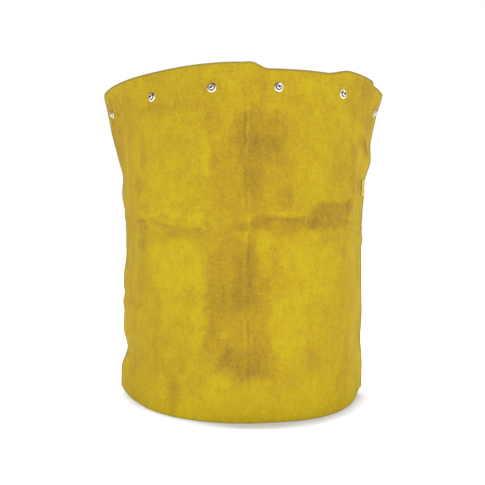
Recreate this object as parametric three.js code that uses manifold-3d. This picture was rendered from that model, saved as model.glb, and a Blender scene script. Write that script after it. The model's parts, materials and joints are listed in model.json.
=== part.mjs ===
// A welding bib: one sheet of suede split leather that stands in a bow on its foot edge, with a
// row of six snap fasteners along its top and a small label sewn near its right edge.
// Millimetres, +Z up, front towards -Y, origin on the floor below the middle of the whole bib.
//
// A place on the leather is given by how far along the sheet it lies from the front line (positive
// to the right) and how far above the foot edge, as on the flat hide. bowedPoint() says where that
// place is once the sheet is bowed, and everything on the bib is set out with it.

import * as THREE from 'three';
import Module from 'manifold-3d';
import { mergeVertices } from 'three/addons/utils/BufferGeometryUtils.js';

// The sheet
const SHEET_WIDTH = 610;
const SHEET_HEIGHT = 508;
const LEATHER = 1.4;             // thickness of the hide
const CORNER_RADIUS = 8;         // rounding of the top left corner
const DIP_DEPTH = 9;             // the hand-cut top edge falls this far right of its crown
const NICK_DEPTH = 7;            // and this far where the knife slipped, near its right corner
const CLEARANCE = 0.3;           // gap between pieces that lie on or in each other

// How the sheet is bowed: the angle in degrees by which it has turned back from the front, at each
// quarter of the way from the front line to the side edge.
const TURNS = {
  left: { foot: [21, 44, 60, 68], waist: [23, 46, 64, 68], top: [20, 32, 47, 69] },
  right: { foot: [15, 43, 68, 65], waist: [10, 46, 69, 63], top: [9, 29, 56, 69] },
};
const WAIST = 0.4;               // share of the height at which the bow is tightest
const FLARE_POWER = 2.8;         // how late the top opens out above the waist

// The snaps. Heights are measured out from the leather's face.
const SNAP_ROW_DROP = 35;        // from the sheet's nominal top to the row
const SNAP_ROW_SHIFT = 3;        // the row sits this far right of the sheet's middle
const SNAP_SIDE_MARGIN = 24;     // from the outer snap to its side edge, before the shift
const SNAP_MIDDLE_GAP = 95;      // between the two middle snaps
const SNAP_NEXT_SHARE = 0.44;    // the next snap's place on the way from middle to outer
const SNAP_FLAT_MARGIN = 1.2;    // the leather is pinched flat this far past the wider flange
const METAL = 0.5;               // thickness of the pressed sheet metal
const STUD_FLANGE_RADIUS = 6.8;
const STUD_FLANGE_HEIGHT = 0.7;
const STUD_HEIGHT = 3.5;
const STUD_NECK_ROOM = 0.35;     // between the stud's bore and the inside of its neck
const STUD_HEAD_SWELL = 0.35;    // the head stands this far proud of the neck all round
const BARREL_HOLE_RADIUS = 1.65;
const LIP_REACH = 0.9;           // the barrel's end is rolled out this far
const LIP_HEIGHT = 0.55;
const EYELET_FLANGE_RADIUS = 6.5;

// The label
const LABEL_WIDTH = 22;
const LABEL_HEIGHT = 28;
const LABEL_THICKNESS = 0.9;
const LABEL_NAP = 0.15;          // loose nap that keeps the label up, beyond the clearance
const LABEL_DROP = 159;          // from the sheet's nominal top to the label's middle
const LABEL_SIDE_MARGIN = 6;     // from the label to the right side edge
const SEAM_INSET = 2.5;          // from the label's edge to its stitching
const THREAD_RADIUS = 0.35;

// Mesh fineness
const COLUMN_STEP = 17;
const ROW_STEP = 27;
const ROUND_SEGMENTS = 20;
const LABEL_STEP = 7;
const THREAD_SIDES = 6;
const BOW_STEPS = 60;            // steps in which a turn is summed along the sheet

const barrelRadius = BARREL_HOLE_RADIUS + METAL;
const boreRadius = barrelRadius + CLEARANCE;
const lipRadius = barrelRadius + LIP_REACH;
const neckRadius = boreRadius + STUD_NECK_ROOM + METAL;
const headRadius = neckRadius + STUD_HEAD_SWELL;
const snapFlat = Math.max(STUD_FLANGE_RADIUS, EYELET_FLANGE_RADIUS) + SNAP_FLAT_MARGIN;
const halfWidth = SHEET_WIDTH / 2;
const snapRow = SHEET_HEIGHT - SNAP_ROW_DROP;
const labelBack = LEATHER / 2 + CLEARANCE + LABEL_NAP;

const leather = new THREE.MeshStandardMaterial({ color: '#c5a730', roughness: 0.95, metalness: 0 });
const nickel = new THREE.MeshStandardMaterial({ color: '#c9c7c0', roughness: 0.25, metalness: 1 });
const patch = new THREE.MeshStandardMaterial({ color: '#d2bc68', roughness: 0.9, metalness: 0 });
const thread = new THREE.MeshStandardMaterial({ color: '#ecdc78', roughness: 0.8, metalness: 0 });

// ---------------------------------------------------------------- the bowed sheet

// 0 below from, 1 above to, and an even swing between them.
const swing = (x, from, to) => THREE.MathUtils.smoothstep(x, from, to);

// A smooth run of angles that is 0 at the front line and has the given values at the quarters.
function throughQuarters(quarters, share) {
  const stops = [-quarters[0], 0, ...quarters, 2 * quarters[3] - quarters[2]];
  const i = Math.min(3, Math.floor(4 * share));
  const [before, from, to, after] = stops.slice(i, i + 4);
  const f = 4 * share - i;
  return from + f * (to - before) / 2
    + f ** 2 * (before - 2.5 * from + 2 * to - after / 2)
    + f ** 3 * (1.5 * (from - to) + (after - before) / 2);
}

function turnAt(along, rise) {
  const turns = along < 0 ? TURNS.left : TURNS.right;
  const share = Math.abs(along) / halfWidth;
  const foot = throughQuarters(turns.foot, share);
  const waist = throughQuarters(turns.waist, share);
  const top = throughQuarters(turns.top, share);
  const drawnIn = swing(rise, 0, WAIST);
  const flare = Math.max(0, (rise - WAIST) / (1 - WAIST)) ** FLARE_POWER;
  return THREE.MathUtils.degToRad(foot + (waist - foot) * drawnIn + (top - waist) * flare);
}

// A place on the middle of the leather's thickness.
function bowedPoint(along, up) {
  const point = new THREE.Vector3(0, 0, up);
  const step = along / BOW_STEPS;
  for (let i = 0; i < BOW_STEPS; i += 1) {
    const turn = turnAt((i + 0.5) * step, up / SHEET_HEIGHT);
    point.x += Math.cos(turn) * step;
    point.y += Math.sin(turn) * Math.abs(step);
  }
  return point;
}

// The direction out of the leather's front face.
function frontNormal(along, up) {
  const reach = 0.5;
  const across = bowedPoint(along + reach, up).sub(bowedPoint(along - reach, up));
  const upwards = bowedPoint(along, up + reach).sub(bowedPoint(along, up - reach));
  return across.cross(upwards).normalize();
}

const offsetPoint = (along, up, out) => bowedPoint(along, up).addScaledVector(frontNormal(along, up), out);

// Height of the hand-cut top edge above the foot: a crown at the middle, a dip to the right of it,
// a nick near the right corner, and a rounded left corner.
function topEdge(along) {
  const share = along / halfWidth;
  const dip = DIP_DEPTH * (swing(share, 0.04, 0.12) - swing(share, 0.4, 0.55));
  const nick = NICK_DEPTH * (swing(share, 0.82, 0.85) - swing(share, 0.86, 1));
  const intoCorner = Math.max(0, CORNER_RADIUS - (along + halfWidth));
  const rounded = CORNER_RADIUS - Math.sqrt(CORNER_RADIUS ** 2 - intoCorner ** 2);
  return SHEET_HEIGHT - dip - nick - rounded;
}

// ---------------------------------------------------------------- solids from grids

// A closed slab between a grid of front points and a grid of back points, both indexed [column][row].
function slab(front, back) {
  const columns = front.length;
  const rows = front[0].length;
  const vertices = [...front.flat(), ...back.flat()].flatMap((point) => point.toArray());
  const onFront = (i, j) => i * rows + j;
  const onBack = (i, j) => columns * rows + onFront(i, j);
  const triangles = [];
  const rim = (i, j, k, l) => triangles.push(
    onFront(k, l), onFront(i, j), onBack(i, j),
    onFront(k, l), onBack(i, j), onBack(k, l),
  );
  for (let i = 0; i < columns - 1; i += 1) {
    for (let j = 0; j < rows - 1; j += 1) {
      triangles.push(onFront(i, j), onFront(i + 1, j), onFront(i + 1, j + 1));
      triangles.push(onFront(i, j), onFront(i + 1, j + 1), onFront(i, j + 1));
      triangles.push(onBack(i, j), onBack(i + 1, j + 1), onBack(i + 1, j));
      triangles.push(onBack(i, j), onBack(i, j + 1), onBack(i + 1, j + 1));
    }
    rim(i, 0, i + 1, 0);
    rim(i + 1, rows - 1, i, rows - 1);
  }
  for (let j = 0; j < rows - 1; j += 1) {
    rim(columns - 1, j, columns - 1, j + 1);
    rim(0, j + 1, 0, j);
  }
  const geometry = new THREE.BufferGeometry();
  geometry.setAttribute('position', new THREE.Float32BufferAttribute(vertices, 3));
  geometry.setIndex(triangles);
  return geometry;
}

// Even steps from one stop to the next, through every stop.
function between(stops, step) {
  const places = [stops[0]];
  for (let i = 1; i < stops.length; i += 1) {
    const count = Math.max(1, Math.round((stops[i] - stops[i - 1]) / step));
    for (let k = 1; k <= count; k += 1) places.push(stops[i - 1] + (stops[i] - stops[i - 1]) * k / count);
  }
  return places;
}

// A ring turned about +Z from a closed outline of [radius, height] points, given clockwise.
function turned(outline) {
  const points = [...outline, outline[0]].reverse().map(([radius, height]) => new THREE.Vector2(radius, height));
  const ring = new THREE.LatheGeometry(points, ROUND_SEGMENTS);
  ring.rotateX(Math.PI / 2);
  ring.deleteAttribute('uv');
  ring.deleteAttribute('normal');
  return mergeVertices(ring, 1e-4);
}

// ---------------------------------------------------------------- pieces

// Places of the snaps along the sheet, left to right.
function snapPlaces() {
  const middle = SNAP_MIDDLE_GAP / 2;
  const outer = halfWidth - SNAP_SIDE_MARGIN;
  const next = middle + (outer - middle) * SNAP_NEXT_SHARE;
  return [-outer, -next, -middle, middle, next, outer].map((place) => place + SNAP_ROW_SHIFT);
}

// The flat patch that a snap pinches is one cell of the sheet's grid. The seat is a group at the
// cell's middle, in the middle of the leather's thickness, with +Z out of the front face.
function snapSeat(along) {
  const corner = (side, level) => bowedPoint(along + side * snapFlat, snapRow + level * snapFlat);
  const corners = [corner(-1, -1), corner(1, -1), corner(1, 1), corner(-1, 1)];
  const seat = new THREE.Group();
  corners.forEach((point) => seat.position.addScaledVector(point, 0.25));
  const diagonal = corners[2].clone().sub(corners[0]);
  const otherDiagonal = corners[3].clone().sub(corners[1]);
  const normal = diagonal.cross(otherDiagonal).normalize();
  seat.quaternion.setFromUnitVectors(new THREE.Vector3(0, 0, 1), normal);
  seat.updateMatrixWorld();
  return seat;
}

function panelSheet(seats) {
  const flats = snapPlaces().flatMap((place) => [place - snapFlat, place + snapFlat]);
  const corner = [0, 0.3, 1].map((share) => -halfWidth + CORNER_RADIUS * share);
  const firstFlat = Math.max(flats[0], corner[2]);
  const columns = between([...corner, firstFlat, ...flats.slice(1), halfWidth], COLUMN_STEP)
    .filter((place, i, all) => i === 0 || place - all[i - 1] > 0.01);
  const rows = between([0, snapRow - snapFlat, snapRow + snapFlat], ROW_STEP);
  const heights = (along) => [...rows, topEdge(along)];
  const face = (out) => columns.map((along) => heights(along).map((up) => offsetPoint(along, up, out)));
  const sheet = slab(face(LEATHER / 2), face(-LEATHER / 2));
  return punched(sheet, seats);
}

// The sheet with a round hole through it at every seat.
function punched(sheet, seats) {
  let hide = asManifold(sheet);
  for (const seat of seats) {
    const punch = new THREE.CylinderGeometry(boreRadius, boreRadius, 6 * LEATHER, ROUND_SEGMENTS);
    punch.rotateX(Math.PI / 2);
    punch.applyMatrix4(seat.matrixWorld);
    hide = hide.subtract(asManifold(punch));
  }
  return asGeometry(hide);
}

// Front half of a snap: a flange with a hollow post, pressed from sheet metal. Its raised ring is
// flat, and the post's neck is narrower than its head, so that a socket clips over it.
function studRing() {
  const base = LEATHER / 2 + CLEARANCE;
  const top = base + STUD_HEIGHT;
  const ringTop = base + STUD_FLANGE_HEIGHT;
  const neck = base + 1.2;
  return turned([
    [boreRadius, top],
    [headRadius - 0.5, top],
    [headRadius, top - 0.8],
    [neckRadius, neck],
    [neckRadius + 0.4, base + METAL],
    [STUD_FLANGE_RADIUS - 2.4, base + METAL],
    [STUD_FLANGE_RADIUS - 2.1, ringTop],
    [STUD_FLANGE_RADIUS - 0.4, ringTop],
    [STUD_FLANGE_RADIUS, base + STUD_FLANGE_HEIGHT / 2],
    [STUD_FLANGE_RADIUS - 0.2, base],
    [neckRadius + 0.3, base],
    [neckRadius - METAL, neck],
    [headRadius - METAL, top - 0.9],
    [headRadius - METAL - 0.3, top - METAL],
    [boreRadius, top - METAL],
  ]);
}

// Rear half of a snap: a flange with a barrel that goes through the leather and the stud, and is
// rolled outwards over the stud's top.
function eyeletRing() {
  const seatBehind = -LEATHER / 2 - CLEARANCE;
  const lip = LEATHER / 2 + CLEARANCE + STUD_HEIGHT + CLEARANCE;
  return turned([
    [BARREL_HOLE_RADIUS, lip + LIP_HEIGHT - 0.2],
    [BARREL_HOLE_RADIUS + 0.25, lip + LIP_HEIGHT],
    [lipRadius - 0.45, lip + LIP_HEIGHT],
    [lipRadius, lip + LIP_HEIGHT / 2],
    [lipRadius - 0.15, lip],
    [barrelRadius, lip],
    [barrelRadius, seatBehind],
    [EYELET_FLANGE_RADIUS - 0.2, seatBehind],
    [EYELET_FLANGE_RADIUS, seatBehind - METAL / 2],
    [EYELET_FLANGE_RADIUS - 0.3, seatBehind - METAL],
    [barrelRadius, seatBehind - METAL],
    [BARREL_HOLE_RADIUS, seatBehind - METAL / 2],
  ]);
}

// The label's span along and up the sheet, drawn in by a margin.
function labelSpan(inset) {
  const outer = halfWidth - LABEL_SIDE_MARGIN;
  const middle = SHEET_HEIGHT - LABEL_DROP;
  return {
    along: [outer - LABEL_WIDTH + inset, outer - inset],
    up: [middle - LABEL_HEIGHT / 2 + inset, middle + LABEL_HEIGHT / 2 - inset],
  };
}

function labelSheet() {
  const span = labelSpan(0);
  const columns = between(span.along, LABEL_STEP);
  const rows = between(span.up, LABEL_STEP);
  const face = (out) => columns.map((along) => rows.map((up) => offsetPoint(along, up, out)));
  return slab(face(labelBack + LABEL_THICKNESS), face(labelBack));
}

// One thread of the label's seam: a closed loop lying out from the middle of the leather.
function seamLoop(out) {
  const { along: [left, right], up: [low, high] } = labelSpan(SEAM_INSET);
  const sides = [[left, low, right, low], [right, low, right, high], [right, high, left, high], [left, high, left, low]];
  const stops = sides.flatMap(([a, b, c, d]) => [0.08, 0.36, 0.64, 0.92].map(
    (share) => offsetPoint(a + (c - a) * share, b + (d - b) * share, out),
  ));
  const path = new THREE.CatmullRomCurve3(stops, true);
  const loop = new THREE.TubeGeometry(path, 3 * stops.length, THREAD_RADIUS, THREAD_SIDES, true);
  loop.deleteAttribute('uv');
  loop.deleteAttribute('normal');
  return mergeVertices(loop, 1e-4);
}

// ---------------------------------------------------------------- joining and cutting

const wasm = await Module();
wasm.setup();

function asManifold(geometry) {
  const bare = geometry.clone();
  bare.deleteAttribute('uv');
  bare.deleteAttribute('normal');
  const merged = mergeVertices(bare, 1e-4);
  return new wasm.Manifold(new wasm.Mesh({
    numProp: 3,
    vertProperties: new Float32Array(merged.attributes.position.array),
    triVerts: new Uint32Array(merged.index.array),
  }));
}

function asGeometry(solid) {
  const { vertProperties, triVerts } = solid.getMesh();
  const geometry = new THREE.BufferGeometry();
  geometry.setAttribute('position', new THREE.Float32BufferAttribute(vertProperties, 3));
  geometry.setIndex([...triVerts]);
  return geometry;
}

// ---------------------------------------------------------------- the bib

const bib = new THREE.Group();

function add(parent, name, geometry, material) {
  const mesh = new THREE.Mesh(geometry, material);
  mesh.name = name;
  parent.add(mesh);
}

const seats = snapPlaces().map(snapSeat);
add(bib, 'bib_panel', panelSheet(seats), leather);
seats.forEach((seat, i) => {
  add(seat, `snap_stud_${i + 1}`, studRing(), nickel);
  add(seat, `snap_eyelet_${i + 1}`, eyeletRing(), nickel);
  bib.add(seat);
});
add(bib, 'side_label', labelSheet(), patch);
const overLabel = labelBack + LABEL_THICKNESS + CLEARANCE + THREAD_RADIUS;
add(bib, 'label_needle_thread', seamLoop(overLabel), thread);
add(bib, 'label_bobbin_thread', seamLoop(-LEATHER / 2 - CLEARANCE - THREAD_RADIUS), thread);

// The origin goes below the middle of the whole bib.
const middle = new THREE.Box3().setFromObject(bib, true).getCenter(new THREE.Vector3());
bib.position.set(-middle.x, -middle.y, 0);

export default bib;
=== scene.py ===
"""A welding bib: one sheet of golden suede split leather, standing in a bow on its foot edge, with six
snap fasteners along its top and a small label sewn near its right edge.

Metres, +Z up, front towards -Y. A place on the leather is given in millimetres, along the sheet from
the front line (positive to the right) and up from the foot edge, as on the flat hide.
"""

import json
import math
import bmesh
import bpy
import numpy as np
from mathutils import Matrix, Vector


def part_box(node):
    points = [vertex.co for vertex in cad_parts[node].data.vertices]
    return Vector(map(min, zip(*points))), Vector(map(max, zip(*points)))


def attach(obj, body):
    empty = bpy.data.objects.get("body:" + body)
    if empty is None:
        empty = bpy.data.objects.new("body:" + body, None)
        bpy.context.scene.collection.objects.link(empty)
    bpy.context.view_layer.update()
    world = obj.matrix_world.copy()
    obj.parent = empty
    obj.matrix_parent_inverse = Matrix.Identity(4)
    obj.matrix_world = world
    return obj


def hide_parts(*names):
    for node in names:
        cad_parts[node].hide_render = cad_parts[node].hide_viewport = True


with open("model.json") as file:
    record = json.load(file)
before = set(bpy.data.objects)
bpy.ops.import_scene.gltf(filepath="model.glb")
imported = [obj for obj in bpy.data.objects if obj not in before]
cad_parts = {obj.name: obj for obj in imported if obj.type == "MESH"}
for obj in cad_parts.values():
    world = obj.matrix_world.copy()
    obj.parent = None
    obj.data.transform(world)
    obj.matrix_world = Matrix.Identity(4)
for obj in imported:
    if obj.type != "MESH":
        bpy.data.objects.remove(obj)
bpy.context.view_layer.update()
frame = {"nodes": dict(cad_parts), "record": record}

MM = 0.001

# The hide, as it was cut
SHEET_WIDTH = 610
SHEET_HEIGHT = 508
LEATHER = 1.4             # thickness of the hide
CORNER_RADIUS = 16        # rounding of the top left corner
DIP_DEPTH = 9             # the hand-cut top edge falls this far right of its crown
NICK_DEPTH = 4.5          # and this far where the knife slipped, near its right corner
CLEARANCE = 0.3           # gap between pieces that lie on or in each other
HALF_WIDTH = SHEET_WIDTH / 2

# How it is bowed: the angle in degrees turned back at each quarter of the way to the side edge.
TURNS = {
    "left": {"foot": [21, 44, 60, 68], "waist": [23, 46, 64, 68], "top": [20, 32, 47, 69]},
    "right": {"foot": [15, 43, 68, 65], "waist": [10, 46, 69, 63], "top": [9, 29, 56, 69]},
}
WAIST = 0.4               # share of the height at which the bow is tightest
FLARE_POWER = 2.8         # how late the top opens out above the waist
BOW_STEPS = 60            # steps in which a turn is summed along the sheet

# The row of snaps, set out on the flat hide
SNAP_DROP = 35            # from the sheet's nominal top to the row
SNAP_ROW = SHEET_HEIGHT - SNAP_DROP
SNAP_SHIFT = 3            # the row sits this far right of the sheet's middle
SNAP_SIDE_MARGIN = 24     # from the outer snap to its side edge, before the shift
SNAP_MIDDLE_GAP = 95      # between the two middle snaps
SNAP_NEXT_SHARE = 0.44    # the next snap's place on the way from middle to outer
SNAP_COUNT = 6

# A snap: a stud on the front, and an eyelet whose barrel comes through from behind
HOLE_RADIUS = 2.45
FLANGE_RADIUS = 6.8
EYELET_RADIUS = 6.5
POST_HEIGHT = 3.5
BORE_RADIUS = 1.65
BORE_EDGE = 2.1           # the bore is painted dark, as shade, out to here, on the rolled lip
FACE = LEATHER / 2 + CLEARANCE
ANY_TURN = 6.28           # the rings are set turned by up to this much, in radians

# The label and its seam
LABEL_SIZE = (22, 28)
LABEL_SIDE_MARGIN = 6
LABEL_DROP = 159          # from the sheet's nominal top to the label's middle
LABEL_MIDDLE = (HALF_WIDTH - LABEL_SIDE_MARGIN - LABEL_SIZE[0] / 2, SHEET_HEIGHT - LABEL_DROP)
LABEL_THICKNESS = 0.9
LABEL_NAP = 0.15          # loose nap that keeps the label up, beyond the clearance
LABEL_LIFT = FACE + LABEL_NAP
SEAM_INSET = 2.5
STITCH_LENGTH = 2.9
STITCH_PITCH = 3.1
THREAD_RADIUS = 0.38
STITCH_HUMP = 0.42        # a stitch rises this far out of the leather
STITCH_LEAN = 0.14        # and lies up to this far askew, in radians

# Creases left by the packing folds
STANDING_CREASE = 9
LYING_CREASE = 283

# Fineness of the leather's mesh, and how far in its cut edge is rounded over
CELL = 2.8
EDGE_ROLL = 0.6
LABEL_CELL = 0.9
LABEL_ROLL = 0.4
EDGE_BULGE = 0.25         # the cut edge stands out this far in its middle

# Added to the place along the sheet wherever a random pattern over the hide is read
PATTERN_START = 900


# ------------------------------------------------------------------ small tools


def linear(hex_colour):
    """A colour given as sRGB hex, turned to the linear RGBA that sockets take."""
    values = [int(hex_colour[i:i + 2], 16) / 255 for i in (1, 3, 5)]
    return [v / 12.92 if v <= 0.04045 else ((v + 0.055) / 1.055) ** 2.4 for v in values] + [1.0]


def add(tree, kind, inputs=None, stops=None, **settings):
    """Adds a node. inputs maps a socket's name or number to a value or to another node's output."""
    node = tree.nodes.new(kind)
    for name, value in settings.items():
        setattr(node, name, value)
    for key, value in (inputs or {}).items():
        if isinstance(value, bpy.types.NodeSocket):
            tree.links.new(value, node.inputs[key])
        else:
            node.inputs[key].default_value = value
    for place, colour in stops or []:
        ends = node.color_ramp.elements
        stop = ends[0] if place == 0 else ends[-1] if place == 1 else ends.new(place)
        stop.color = linear(colour)
    return node


def per(size_mm):
    """The texture scale whose pattern repeats about every size_mm millimetres."""
    return 1 / (size_mm * MM)


def swing(x, start, end):
    """0 below start, 1 above end, and an even swing between them."""
    t = np.clip((x - start) / (end - start), 0, 1)
    return t * t * (3 - 2 * t)


def bump_at(x, middle, reach):
    """A smooth hump, 1 at middle and 0 at reach to either side of it."""
    return 1 - swing(np.abs(x - middle), 0, reach)


def blotches(x, y, size, seed):
    """Smooth random values from -1 to 1, in blotches about size across."""
    spots = np.random.default_rng(seed).uniform(-1, 1, (64, 64))
    i = np.floor(x / size).astype(int)
    j = np.floor(y / size).astype(int)
    u = swing(x / size - i, 0, 1)
    v = swing(y / size - j, 0, 1)
    low = spots[i % 64, j % 64] * (1 - u) + spots[(i + 1) % 64, j % 64] * u
    high = spots[i % 64, (j + 1) % 64] * (1 - u) + spots[(i + 1) % 64, (j + 1) % 64] * u
    return low * (1 - v) + high * v


def on_hide(along, up, size, seed):
    """Blotches laid out over the hide."""
    return blotches(along + PATTERN_START, up, size, seed)


def wander(x, size, seed):
    """Smooth random values from -1 to 1 along a line, which turn about every size."""
    return blotches(x, x * 0, size, seed)


def new_object(name, mesh):
    piece = bpy.data.objects.new(name, mesh)
    bpy.context.scene.collection.objects.link(piece)
    return piece


def face_out(mesh):
    """Turns every face of a closed mesh outwards, drops loose points and shades it smooth."""
    tidy = bmesh.new()
    tidy.from_mesh(mesh)
    bmesh.ops.delete(tidy, geom=[v for v in tidy.verts if not v.link_faces], context="VERTS")
    bmesh.ops.recalc_face_normals(tidy, faces=tidy.faces)
    tidy.to_mesh(mesh)
    tidy.free()
    mesh.shade_smooth()


# ------------------------------------------------------------------ the bow


def through_quarters(quarters, share):
    """A smooth run of angles, 0 at the front line, with the given values at the quarters."""
    stops = np.array([-quarters[0], 0, *quarters, 2 * quarters[3] - quarters[2]], float)
    i = np.minimum(3, (4 * share).astype(int))
    before, start, end, after = (stops[i + k] for k in range(4))
    f = 4 * share - i
    return (start + f * (end - before) / 2
            + f ** 2 * (before - 2.5 * start + 2 * end - after / 2)
            + f ** 3 * (1.5 * (start - end) + (after - before) / 2))


def turn_at(along, rise):
    share = np.abs(along) / HALF_WIDTH
    foot, waist, top = (
        np.where(
            along < 0,
            through_quarters(TURNS["left"][level], share),
            through_quarters(TURNS["right"][level], share),
        )
        for level in ("foot", "waist", "top")
    )
    flare = np.maximum(0, (rise - WAIST) / (1 - WAIST)) ** FLARE_POWER
    return np.radians(foot + (waist - foot) * swing(rise, 0, WAIST) + (top - waist) * flare)


def bare_bow(along, up):
    """Points in the middle of the leather's thickness, in millimetres, before the sheet is placed."""
    along, up = np.broadcast_arrays(np.asarray(along, float), np.asarray(up, float))
    step = along / BOW_STEPS
    x = np.zeros_like(step)
    y = np.zeros_like(step)
    for i in range(BOW_STEPS):
        turn = turn_at((i + 0.5) * step, up / SHEET_HEIGHT)
        x += np.cos(turn) * step
        y += np.sin(turn) * np.abs(step)
    return np.stack([x, y, up], -1)


def top_edge(along):
    """Height of the hand-cut top edge: a crown, a dip right of it, a nick and a rounded left corner."""
    share = along / HALF_WIDTH
    dip = DIP_DEPTH * (swing(share, 0.04, 0.12) - swing(share, 0.4, 0.55))
    nick = NICK_DEPTH * (swing(share, 0.75, 0.775) - np.clip((share - 0.78) / 0.22, 0, 1))
    into_corner = np.maximum(0, CORNER_RADIUS - (along + HALF_WIDTH))
    rounded = CORNER_RADIUS - np.sqrt(np.maximum(0, CORNER_RADIUS ** 2 - into_corner ** 2))
    return SHEET_HEIGHT - dip - nick - rounded


def sheet_place():
    """How far the bowed sheet is shifted, in millimetres, to lie where the frame's panel lies."""
    outline = np.linspace(-HALF_WIDTH, HALF_WIDTH, 123)
    heights = np.linspace(0, 1, 12)[:, None] * top_edge(outline)
    points = bare_bow(outline[None, :], heights)
    low, high = (np.array(corner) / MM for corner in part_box("bib_panel"))
    shift = (low + high) / 2 - (points.min((0, 1)) + points.max((0, 1))) / 2
    front = low[1] + LEATHER / 2 - points[..., 1].min()
    return np.array([shift[0], front, 0.0])


SHEET_SHIFT = sheet_place()


# Waves of the side edges: (how far out, height of the middle, reach above and below it)
LEFT_WAVES = [
    (-8.5, 66, 34), (1.6, 112, 26), (3.4, 150, 40), (4.4, 196, 38), (-0.9, 265, 40), (2.8, 338, 30),
    (-1.8, 374, 24), (3.2, 440, 60),
]
RIGHT_WAVES = [
    (-2.2, 85, 50), (1.3, 262, 16), (-0.8, 282, 14), (1.0, 335, 30), (5.6, 396, 34), (2.6, 505, 34),
]

# The slack of a soft hide: (how far in and out, size of the bulges, seed)
SLACK = [(0.9, 95, 3), (0.45, 42, 4), (0.16, 15, 5)]


def humps(up, shape):
    return sum(size * bump_at(up, middle, reach) for size, middle, reach in shape)


def waves(along, up):
    """How far the hide stands out from its even bow, in millimetres."""
    left = swing(-along, 0.45 * HALF_WIDTH, HALF_WIDTH)
    right = swing(along, 0.5 * HALF_WIDTH, HALF_WIDTH)
    ripples = 0.8 * np.sin(up / 5.5) * bump_at(up, 160, 70)
    sides = left * (humps(up, LEFT_WAVES) + ripples) + right * humps(up, RIGHT_WAVES)
    slack = sum(size * on_hide(along, up, spread, seed) for size, spread, seed in SLACK)
    return sides + slack + creases(along, up)


def standing_line(up):
    """Place along the sheet of the standing fold, which wanders a little."""
    return STANDING_CREASE + 1.6 * wander(up, 60, 7)


def lying_line(along):
    """Height of the lying fold, which steps where it crosses the standing one."""
    steps = np.interp(along, [-HALF_WIDTH, -52, STANDING_CREASE, HALF_WIDTH], [18, -8, 10, -4])
    return LYING_CREASE + steps + 3 * wander(along + PATTERN_START, 80, 9)


def creases(along, up):
    """The two folds that cross the sheet, as low ridges with a shallow valley beside them."""
    standing = bump_at(along, standing_line(up), 5) - 0.5 * bump_at(along, STANDING_CREASE - 11, 9)
    standing = standing * (0.45 + 0.35 * wander(up, 70, 8)) * 1.5
    line = lying_line(along)
    lying = bump_at(up, line, 6) - 0.8 * bump_at(up, line - 11, 9)
    lying = lying * (0.5 + 0.3 * wander(along + PATTERN_START, 90, 10)) * 1.5
    return standing + lying


# ------------------------------------------------------------------ snap seats


def snap_places():
    """Places of the snaps along the sheet, left to right."""
    middle = SNAP_MIDDLE_GAP / 2
    outer = HALF_WIDTH - SNAP_SIDE_MARGIN
    between = middle + (outer - middle) * SNAP_NEXT_SHARE
    return [place + SNAP_SHIFT for place in (-outer, -between, -middle, middle, between, outer)]


def snap_seat(number):
    """The seat of a snap: its centre in the middle of the leather, and the axis out of the front."""
    mount = next(m for m in frame["record"]["mounts"] if m["name"] == f"stud_{number}_ring")
    axis = np.array(mount["axis"], float)
    axis /= np.linalg.norm(axis)
    stud = np.array([v.co for v in frame["nodes"][f"snap_stud_{number}"].data.vertices]) / MM
    centre = stud.mean(0)
    base = ((stud - centre) @ axis).min()
    return centre + axis * (base - LEATHER / 2 - CLEARANCE), axis


SNAP_PLACES = snap_places()
SEATS = [snap_seat(k + 1) for k in range(SNAP_COUNT)]


def pinch(points, normals, half_thickness):
    """Presses the leather flat in each snap, swells it against the flange and puckers it around."""
    for centre, axis in SEATS:
        away = points - centre
        height = away @ axis
        flat = away - height[..., None] * axis
        radius = np.linalg.norm(flat, axis=-1)
        here = np.abs(height) < 15
        near = (1 - swing(radius, 8.5, 19)) * here
        points = points - (near * height)[..., None] * axis
        side = np.cross((0.0, 0.0, 1.0), axis)
        side /= np.linalg.norm(side)
        angle = np.arctan2(flat @ np.cross(axis, side), flat @ side)
        pucker = 0.22 * np.cos(7 * angle + centre[0]) * bump_at(radius, 11.5, 4.5)
        sunk = -0.45 * bump_at(radius, 12.5, 7)
        points = points + ((pucker + sunk) * here)[..., None] * axis
        half_thickness = half_thickness + CLEARANCE * (1 - swing(radius, 7.0, 9.5)) * here
        normals = normals * (1 - near[..., None]) + near[..., None] * axis
    normals = normals / np.linalg.norm(normals, axis=-1, keepdims=True)
    return points, normals, half_thickness


# ------------------------------------------------------------------ the leather's colour pattern

MARK_STRENGTH = 0.80
MARK_BLUR = 0.7

# How ragged the edges of the marks are: (size of the rags, how far they reach, seed)
RAGS = [(30, 5, 21), (11, 4, 23), (5, 2.5, 27)]
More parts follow.
